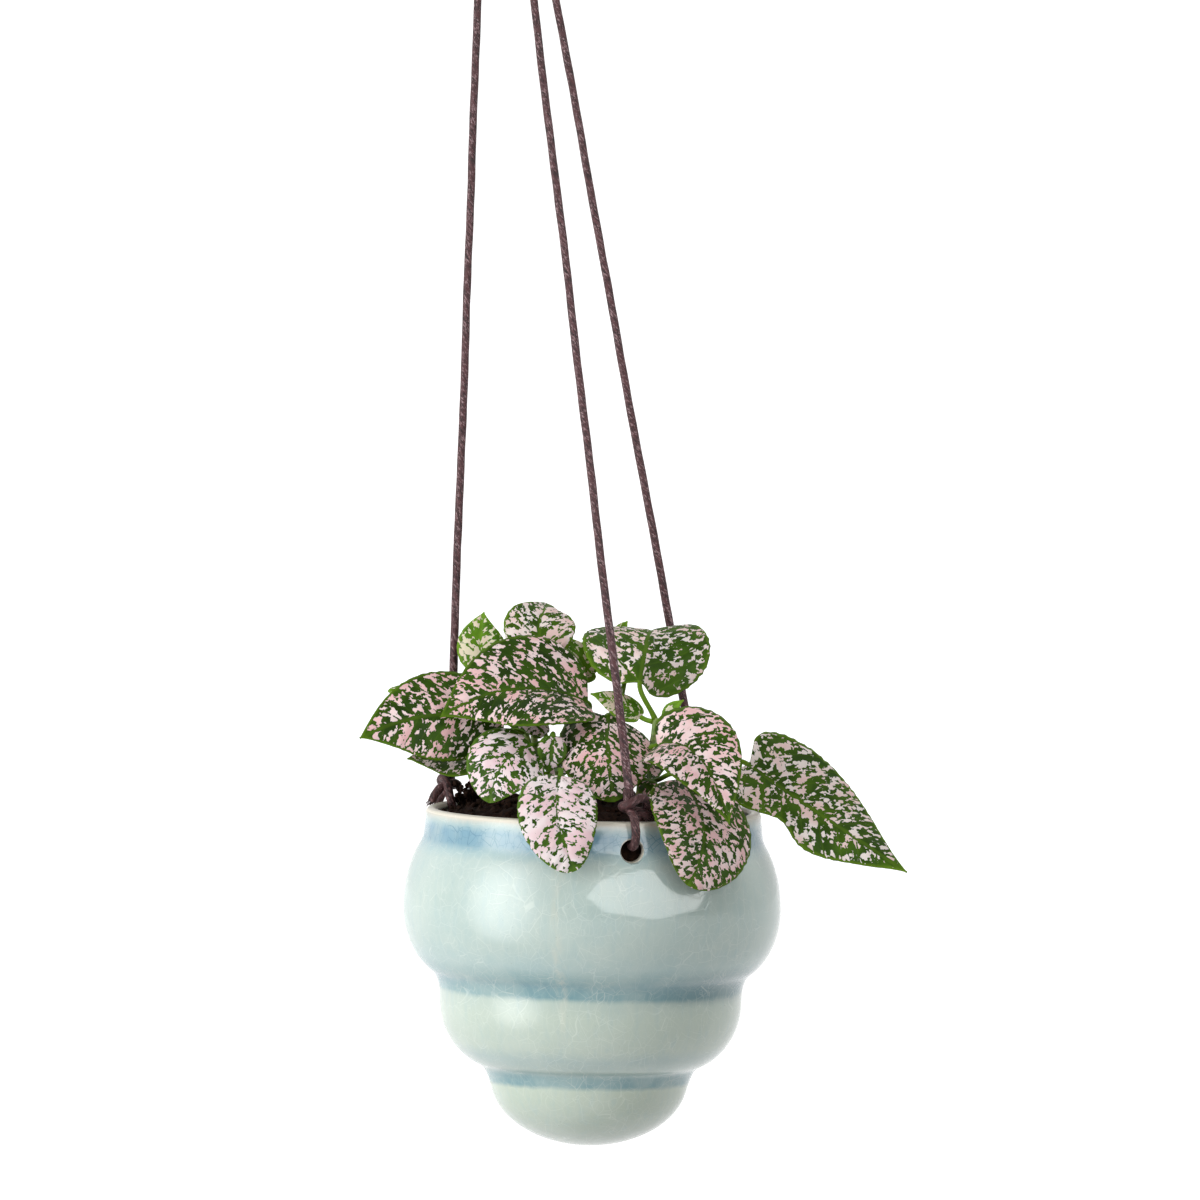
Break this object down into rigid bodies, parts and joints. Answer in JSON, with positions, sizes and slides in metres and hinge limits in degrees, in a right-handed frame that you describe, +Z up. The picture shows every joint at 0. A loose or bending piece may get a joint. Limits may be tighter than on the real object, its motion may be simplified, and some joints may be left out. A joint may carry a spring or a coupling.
{
  "type": "potted polka dot plant in a hanging planter",
  "caption": "Small pink-spotted polka dot plant growing in a stepped, crackle-glazed ceramic planter, hung by knotted waxed cords from a loop.",
  "frame": {"origin": "inside top of the hanging loop, where a hook bears", "axes": "+Z up; seen from the front +X is to the right and +Y points to the back, and the front is the side with the cord hole in view"},
  "size_m": [0.1879, 0.1339, 0.5445],
  "materials": {
    "glaze": "gloss",
    "soil": "matte",
    "stem": "satin",
    "leaf_dark": "satin",
    "leaf_pale": "satin",
    "leaf_young": "satin",
    "cord": "satin"
  },
  "bodies": {
    "root": {"pot": "glaze", "knot_front": "cord", "cord_front": "cord", "knot_left": "cord", "cord_left": "cord", "knot_right": "cord", "cord_right": "cord", "gathering_knot": "cord", "hanging_loop": "cord", "stem_centre": "stem", "stem_left": "stem", "stem_front": "stem", "stem_right": "stem", "stem_right_low": "stem", "stem_back": "stem", "stem_back_left": "stem", "soil": "soil", "leaf_far_left": "leaf_dark", "leaf_upper_left": "leaf_dark", "leaf_top": "leaf_dark", "leaf_top_left": "leaf_young", "leaf_left_tip": "leaf_young", "leaf_low_left": "leaf_pale", "leaf_front_left_round": "leaf_pale", "leaf_front_small": "leaf_pale", "leaf_front_folded": "leaf_pale", "leaf_front_tiny": "leaf_young", "leaf_front_drooping": "leaf_pale", "leaf_centre": "leaf_dark", "leaf_upright_small": "leaf_young", "leaf_upper_right": "leaf_dark", "leaf_top_tip": "leaf_young", "leaf_middle_pale": "leaf_pale", "leaf_right_arching": "leaf_dark", "leaf_right_bud": "leaf_young", "leaf_right_low": "leaf_dark", "leaf_right_hanging": "leaf_dark", "leaf_far_right": "leaf_dark", "leaf_back_left": "leaf_dark", "leaf_back_low_left": "leaf_dark", "leaf_back_high_left": "leaf_dark", "leaf_back_middle": "leaf_pale", "leaf_back_right": "leaf_dark", "leaf_back_high_right": "leaf_dark", "leaf_back_upper": "leaf_young", "leaf_back_side": "leaf_pale"}
  },
  "joints": []
}
